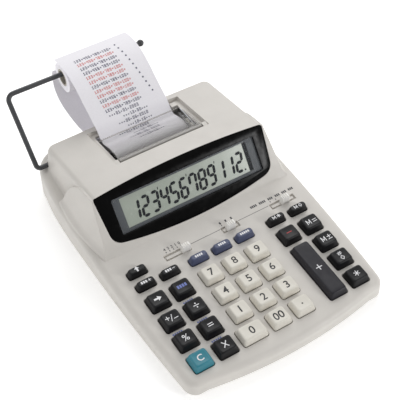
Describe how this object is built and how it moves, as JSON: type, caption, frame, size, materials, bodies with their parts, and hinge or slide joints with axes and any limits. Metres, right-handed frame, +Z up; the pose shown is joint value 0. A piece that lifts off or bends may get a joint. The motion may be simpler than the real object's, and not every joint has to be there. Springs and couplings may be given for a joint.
{
  "type": "printing desk calculator",
  "caption": "Printing desk calculator with a sloped key deck, raised display hood, ink-roller printer under a smoked cover, and a wire arm behind that carries a paper roll.",
  "frame": {"origin": "on the table, under the middle of the machine's overall length and width, roll included", "axes": "+X to the right of the person using it, +Y back towards the paper roll, +Z up"},
  "size_m": [0.158, 0.2565, 0.0766],
  "materials": {
    "case_plastic": "fine texture",
    "lens_black": "polished",
    "lcd_frame_grey": "satin",
    "lcd_glass": "polished",
    "board_green": "satin",
    "mat_rubber": "matt",
    "mechanism_black": "satin",
    "platen_rubber": "matt",
    "gear_white": "satin",
    "gear_brass": "satin",
    "motor_steel": "brushed",
    "ink_purple": "matt",
    "cover_smoke": "polished",
    "arm_grey": "satin",
    "core_card": "matt",
    "paper_white": "matt",
    "feet_rubber": "matt",
    "switch_ivory": "satin",
    "key_ivory": "satin",
    "key_black": "satin",
    "key_plum": "satin",
    "key_teal": "satin",
    "key_slate": "satin"
  },
  "bodies": {
    "case": {"top_case": "case_plastic", "bottom_case": "case_plastic", "display_lens": "lens_black", "lcd_bezel": "lcd_frame_grey", "lcd_panel": "lcd_glass", "main_board": "board_green", "key_mat": "mat_rubber", "printer_frame": "mechanism_black", "printer_motor": "motor_steel", "carriage_rail": "motor_steel", "dc_jack": "mechanism_black", "rubber_feet": "feet_rubber", "case_screws": "motor_steel", "paper_tape": "paper_white"},
    "key_clear_body": {"key_clear": "key_teal"},
    "key_multiply_body": {"key_multiply": "key_black"},
    "key_0_body": {"key_0": "key_ivory"},
    "key_00_body": {"key_00": "key_ivory"},
    "key_point_body": {"key_point": "key_ivory"},
    "key_plus_body": {"key_plus": "key_plum"},
    "key_total_body": {"key_total": "key_black"},
    "key_percent_body": {"key_percent": "key_black"},
    "key_equals_body": {"key_equals": "key_black"},
    "key_1_body": {"key_1": "key_ivory"},
    "key_2_body": {"key_2": "key_ivory"},
    "key_3_body": {"key_3": "key_ivory"},
    "key_non_add_body": {"key_non_add": "key_black"},
    "key_sign_body": {"key_sign": "key_black"},
    "key_divide_body": {"key_divide": "key_black"},
    "key_4_body": {"key_4": "key_ivory"},
    "key_5_body": {"key_5": "key_ivory"},
    "key_6_body": {"key_6": "key_ivory"},
    "key_memory_plus_body": {"key_memory_plus": "key_black"},
    "key_backspace_body": {"key_backspace": "key_black"},
    "key_time_body": {"key_time": "key_black"},
    "key_7_body": {"key_7": "key_ivory"},
    "key_8_body": {"key_8": "key_ivory"},
    "key_9_body": {"key_9": "key_ivory"},
    "key_minus_body": {"key_minus": "key_black"},
    "key_memory_minus_body": {"key_memory_minus": "key_black"},
    "key_tax_plus_body": {"key_tax_plus": "key_black"},
    "key_tax_minus_body": {"key_tax_minus": "key_black"},
    "key_cost_body": {"key_cost": "key_slate"},
    "key_sell_body": {"key_sell": "key_slate"},
    "key_margin_body": {"key_margin": "key_slate"},
    "key_memory_total_body": {"key_memory_total": "key_black"},
    "key_memory_sub_body": {"key_memory_sub": "key_black"},
    "key_paper_feed_body": {"key_paper_feed": "key_black"},
    "switch_decimal_body": {"switch_decimal": "switch_ivory"},
    "switch_rounding_body": {"switch_rounding": "switch_ivory"},
    "switch_mode_body": {"switch_mode": "switch_ivory"},
    "cover": {"printer_cover": "cover_smoke"},
    "arm": {"paper_arm": "arm_grey"},
    "roll": {"paper_core": "core_card", "paper_roll": "paper_white"},
    "platen": {"platen_roller": "platen_rubber", "platen_gear": "gear_white"},
    "pinion": {"motor_gear": "gear_brass"},
    "carriage": {"print_carriage": "mechanism_black"},
    "ink": {"ink_roller": "ink_purple"}
  },
  "joints": [
    {"name": "switch_decimal_slide", "type": "slide", "parent": "case", "child": "switch_decimal_body", "axis": [1, 0, 0], "range_m": [-0.0124, 0]},
    {"name": "switch_rounding_slide", "type": "slide", "parent": "case", "child": "switch_rounding_body", "axis": [1, 0, 0], "range_m": [-0.0032, 0.0032]},
    {"name": "switch_mode_slide", "type": "slide", "parent": "case", "child": "switch_mode_body", "axis": [1, 0, 0], "range_m": [-0.008, 0.005]},
    {"name": "cover_hinge", "type": "hinge", "parent": "case", "child": "cover", "pos_m": [0, 0.03425, 0.0476], "axis": [1, 0, 0], "range_deg": [0, 70]},
    {"name": "arm_hinge", "type": "hinge", "parent": "case", "child": "arm", "pos_m": [0, 0.07735, 0.0274], "axis": [1, 0, 0], "range_deg": [-40, 30], "deforming": ["paper_tape"]},
    {"name": "roll_spin", "type": "hinge", "parent": "arm", "child": "roll", "pos_m": [0, 0.11475, 0.06385], "axis": [1, 0, 0], "continuous": true},
    {"name": "platen_spin", "type": "hinge", "parent": "case", "child": "platen", "pos_m": [0, 0.05275, 0.03], "axis": [1, 0, 0], "continuous": true},
    {"name": "pinion_spin", "type": "hinge", "parent": "case", "child": "pinion", "pos_m": [0, 0.04425, 0.0215], "axis": [1, 0, 0], "continuous": true},
    {"name": "carriage_slide", "type": "slide", "parent": "case", "child": "carriage", "axis": [1, 0, 0], "range_m": [-0.049, 0]},
    {"name": "ink_spin", "type": "hinge", "parent": "carriage", "child": "ink", "pos_m": [0, 0.03925, 0.0384], "axis": [1, 0, 0], "continuous": true},
    {"name": "key_clear_press", "type": "slide", "parent": "case", "child": "key_clear_body", "axis": [0, -0.0558, 0.9984], "range_m": [-0.0025, 0], "stiffness_N_per_m": 180, "springref_m": 0.0012},
    {"name": "key_multiply_press", "type": "slide", "parent": "case", "child": "key_multiply_body", "axis": [0, -0.0558, 0.9984], "range_m": [-0.0025, 0], "stiffness_N_per_m": 180, "springref_m": 0.0012},
    {"name": "key_0_press", "type": "slide", "parent": "case", "child": "key_0_body", "axis": [0, -0.0558, 0.9984], "range_m": [-0.0025, 0], "stiffness_N_per_m": 180, "springref_m": 0.0012},
    {"name": "key_00_press", "type": "slide", "parent": "case", "child": "key_00_body", "axis": [0, -0.0558, 0.9984], "range_m": [-0.0025, 0], "stiffness_N_per_m": 180, "springref_m": 0.0012},
    {"name": "key_point_press", "type": "slide", "parent": "case", "child": "key_point_body", "axis": [0, -0.0558, 0.9984], "range_m": [-0.0025, 0], "stiffness_N_per_m": 180, "springref_m": 0.0012},
    {"name": "key_plus_press", "type": "slide", "parent": "case", "child": "key_plus_body", "axis": [0, -0.0558, 0.9984], "range_m": [-0.0025, 0], "stiffness_N_per_m": 180, "springref_m": 0.0012},
    {"name": "key_total_press", "type": "slide", "parent": "case", "child": "key_total_body", "axis": [0, -0.0558, 0.9984], "range_m": [-0.0025, 0], "stiffness_N_per_m": 180, "springref_m": 0.0012},
    {"name": "key_percent_press", "type": "slide", "parent": "case", "child": "key_percent_body", "axis": [0, -0.0558, 0.9984], "range_m": [-0.0025, 0], "stiffness_N_per_m": 180, "springref_m": 0.0012},
    {"name": "key_equals_press", "type": "slide", "parent": "case", "child": "key_equals_body", "axis": [0, -0.0558, 0.9984], "range_m": [-0.0025, 0], "stiffness_N_per_m": 180, "springref_m": 0.0012},
    {"name": "key_1_press", "type": "slide", "parent": "case", "child": "key_1_body", "axis": [0, -0.0558, 0.9984], "range_m": [-0.0025, 0], "stiffness_N_per_m": 180, "springref_m": 0.0012},
    {"name": "key_2_press", "type": "slide", "parent": "case", "child": "key_2_body", "axis": [0, -0.0558, 0.9984], "range_m": [-0.0025, 0], "stiffness_N_per_m": 180, "springref_m": 0.0012},
    {"name": "key_3_press", "type": "slide", "parent": "case", "child": "key_3_body", "axis": [0, -0.0558, 0.9984], "range_m": [-0.0025, 0], "stiffness_N_per_m": 180, "springref_m": 0.0012},
    {"name": "key_non_add_press", "type": "slide", "parent": "case", "child": "key_non_add_body", "axis": [0, -0.0558, 0.9984], "range_m": [-0.0025, 0], "stiffness_N_per_m": 180, "springref_m": 0.0012},
    {"name": "key_sign_press", "type": "slide", "parent": "case", "child": "key_sign_body", "axis": [0, -0.0558, 0.9984], "range_m": [-0.0025, 0], "stiffness_N_per_m": 180, "springref_m": 0.0012},
    {"name": "key_divide_press", "type": "slide", "parent": "case", "child": "key_divide_body", "axis": [0, -0.0558, 0.9984], "range_m": [-0.0025, 0], "stiffness_N_per_m": 180, "springref_m": 0.0012},
    {"name": "key_4_press", "type": "slide", "parent": "case", "child": "key_4_body", "axis": [0, -0.0558, 0.9984], "range_m": [-0.0025, 0], "stiffness_N_per_m": 180, "springref_m": 0.0012},
    {"name": "key_5_press", "type": "slide", "parent": "case", "child": "key_5_body", "axis": [0, -0.0558, 0.9984], "range_m": [-0.0025, 0], "stiffness_N_per_m": 180, "springref_m": 0.0012},
    {"name": "key_6_press", "type": "slide", "parent": "case", "child": "key_6_body", "axis": [0, -0.0558, 0.9984], "range_m": [-0.0025, 0], "stiffness_N_per_m": 180, "springref_m": 0.0012},
    {"name": "key_memory_plus_press", "type": "slide", "parent": "case", "child": "key_memory_plus_body", "axis": [0, -0.0558, 0.9984], "range_m": [-0.0025, 0], "stiffness_N_per_m": 180, "springref_m": 0.0012},
    {"name": "key_backspace_press", "type": "slide", "parent": "case", "child": "key_backspace_body", "axis": [0, -0.0558, 0.9984], "range_m": [-0.0025, 0], "stiffness_N_per_m": 180, "springref_m": 0.0012},
    {"name": "key_time_press", "type": "slide", "parent": "case", "child": "key_time_body", "axis": [0, -0.0558, 0.9984], "range_m": [-0.0025, 0], "stiffness_N_per_m": 180, "springref_m": 0.0012},
    {"name": "key_7_press", "type": "slide", "parent": "case", "child": "key_7_body", "axis": [0, -0.0558, 0.9984], "range_m": [-0.0025, 0], "stiffness_N_per_m": 180, "springref_m": 0.0012},
    {"name": "key_8_press", "type": "slide", "parent": "case", "child": "key_8_body", "axis": [0, -0.0558, 0.9984], "range_m": [-0.0025, 0], "stiffness_N_per_m": 180, "springref_m": 0.0012},
    {"name": "key_9_press", "type": "slide", "parent": "case", "child": "key_9_body", "axis": [0, -0.0558, 0.9984], "range_m": [-0.0025, 0], "stiffness_N_per_m": 180, "springref_m": 0.0012},
    {"name": "key_minus_press", "type": "slide", "parent": "case", "child": "key_minus_body", "axis": [0, -0.0558, 0.9984], "range_m": [-0.0025, 0], "stiffness_N_per_m": 180, "springref_m": 0.0012},
    {"name": "key_memory_minus_press", "type": "slide", "parent": "case", "child": "key_memory_minus_body", "axis": [0, -0.0558, 0.9984], "range_m": [-0.0025, 0], "stiffness_N_per_m": 180, "springref_m": 0.0012},
    {"name": "key_tax_plus_press", "type": "slide", "parent": "case", "child": "key_tax_plus_body", "axis": [0, -0.0558, 0.9984], "range_m": [-0.0025, 0], "stiffness_N_per_m": 180, "springref_m": 0.0012},
    {"name": "key_tax_minus_press", "type": "slide", "parent": "case", "child": "key_tax_minus_body", "axis": [0, -0.0558, 0.9984], "range_m": [-0.0025, 0], "stiffness_N_per_m": 180, "springref_m": 0.0012},
    {"name": "key_cost_press", "type": "slide", "parent": "case", "child": "key_cost_body", "axis": [0, -0.0558, 0.9984], "range_m": [-0.0025, 0], "stiffness_N_per_m": 180, "springref_m": 0.0012},
    {"name": "key_sell_press", "type": "slide", "parent": "case", "child": "key_sell_body", "axis": [0, -0.0558, 0.9984], "range_m": [-0.0025, 0], "stiffness_N_per_m": 180, "springref_m": 0.0012},
    {"name": "key_margin_press", "type": "slide", "parent": "case", "child": "key_margin_body", "axis": [0, -0.0558, 0.9984], "range_m": [-0.0025, 0], "stiffness_N_per_m": 180, "springref_m": 0.0012},
    {"name": "key_memory_total_press", "type": "slide", "parent": "case", "child": "key_memory_total_body", "axis": [0, -0.0558, 0.9984], "range_m": [-0.0025, 0], "stiffness_N_per_m": 180, "springref_m": 0.0012},
    {"name": "key_memory_sub_press", "type": "slide", "parent": "case", "child": "key_memory_sub_body", "axis": [0, -0.0558, 0.9984], "range_m": [-0.0025, 0], "stiffness_N_per_m": 180, "springref_m": 0.0012},
    {"name": "key_paper_feed_press", "type": "slide", "parent": "case", "child": "key_paper_feed_body", "axis": [0, -0.0558, 0.9984], "range_m": [-0.0025, 0], "stiffness_N_per_m": 180, "springref_m": 0.0012}
  ],
  "couplings": [
    {"joint": "pinion_spin", "follows": "platen_spin", "ratio": -2}
  ]
}
